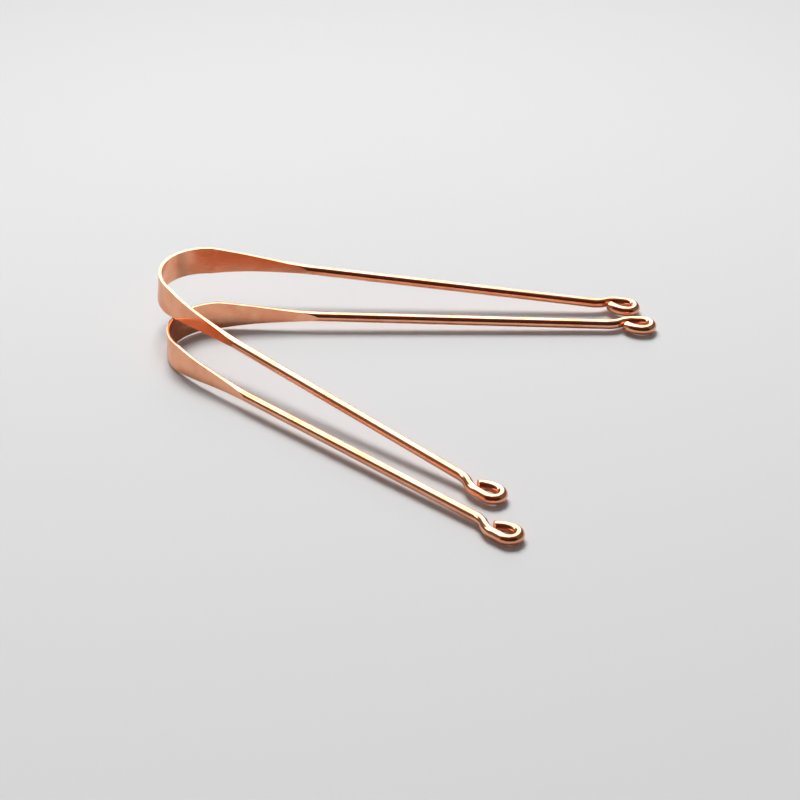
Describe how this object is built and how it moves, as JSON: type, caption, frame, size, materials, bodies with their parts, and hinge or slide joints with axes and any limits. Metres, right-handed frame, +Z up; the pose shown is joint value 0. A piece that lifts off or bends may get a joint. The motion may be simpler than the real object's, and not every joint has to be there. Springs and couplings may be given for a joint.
{
  "type": "tongue scraper",
  "caption": "Copper tongue scrapers of bent round wire, rolled flat round the U-shaped scraping bow, with springy arms ending in curled eyes, lying stacked blade on blade.",
  "frame": {"origin": "on the table, under the middle of the box around the set", "axes": "+X from the bows to the eyes along the lower scraper's middle line, +Y to that scraper's left, +Z up from the table"},
  "size_m": [0.1452, 0.1404, 0.0192],
  "materials": {
    "copper": "bare bright copper, lightly brushed along the wire"
  },
  "bodies": {
    "lower_bow": {"lower_bow": "copper"},
    "lower_left_side": {"lower_left_shoulder": "copper", "lower_left_arm": "copper", "lower_left_eye": "copper"},
    "lower_right_side": {"lower_right_shoulder": "copper", "lower_right_arm": "copper", "lower_right_eye": "copper"},
    "upper_bow": {"upper_bow": "copper"},
    "upper_left_side": {"upper_left_shoulder": "copper", "upper_left_arm": "copper", "upper_left_eye": "copper"},
    "upper_right_side": {"upper_right_shoulder": "copper", "upper_right_arm": "copper", "upper_right_eye": "copper"}
  },
  "joints": [
    {"name": "lower_left_flex", "type": "hinge", "parent": "lower_bow", "child": "lower_left_side", "pos_m": [-0.0532, 0.00977, 0.00455], "axis": [-0.0245, 0, -0.9997], "range_deg": [-0.6, 3], "stiffness_Nm_per_rad": 1.5},
    {"name": "lower_right_flex", "type": "hinge", "parent": "lower_bow", "child": "lower_right_side", "pos_m": [-0.0532, -0.01874, 0.00455], "axis": [0.0245, 0, 0.9997], "range_deg": [-3, 1.3], "stiffness_Nm_per_rad": 1.5},
    {"name": "upper_lift", "type": "slide", "parent": "lower_bow", "child": "upper_bow", "axis": [0, 0, 1], "range_m": [0, 0.06]},
    {"name": "upper_left_flex", "type": "hinge", "parent": "upper_bow", "child": "upper_left_side", "pos_m": [-0.0631, 0.02552, 0.01386], "axis": [-0.0982, 0.0023, -0.9952], "range_deg": [-3, 0.6], "stiffness_Nm_per_rad": 1.5},
    {"name": "upper_right_flex", "type": "hinge", "parent": "upper_bow", "child": "upper_right_side", "pos_m": [-0.06377, -0.00298, 0.01386], "axis": [0.0982, -0.0023, 0.9952], "range_deg": [-1.3, 3], "stiffness_Nm_per_rad": 1.5}
  ]
}
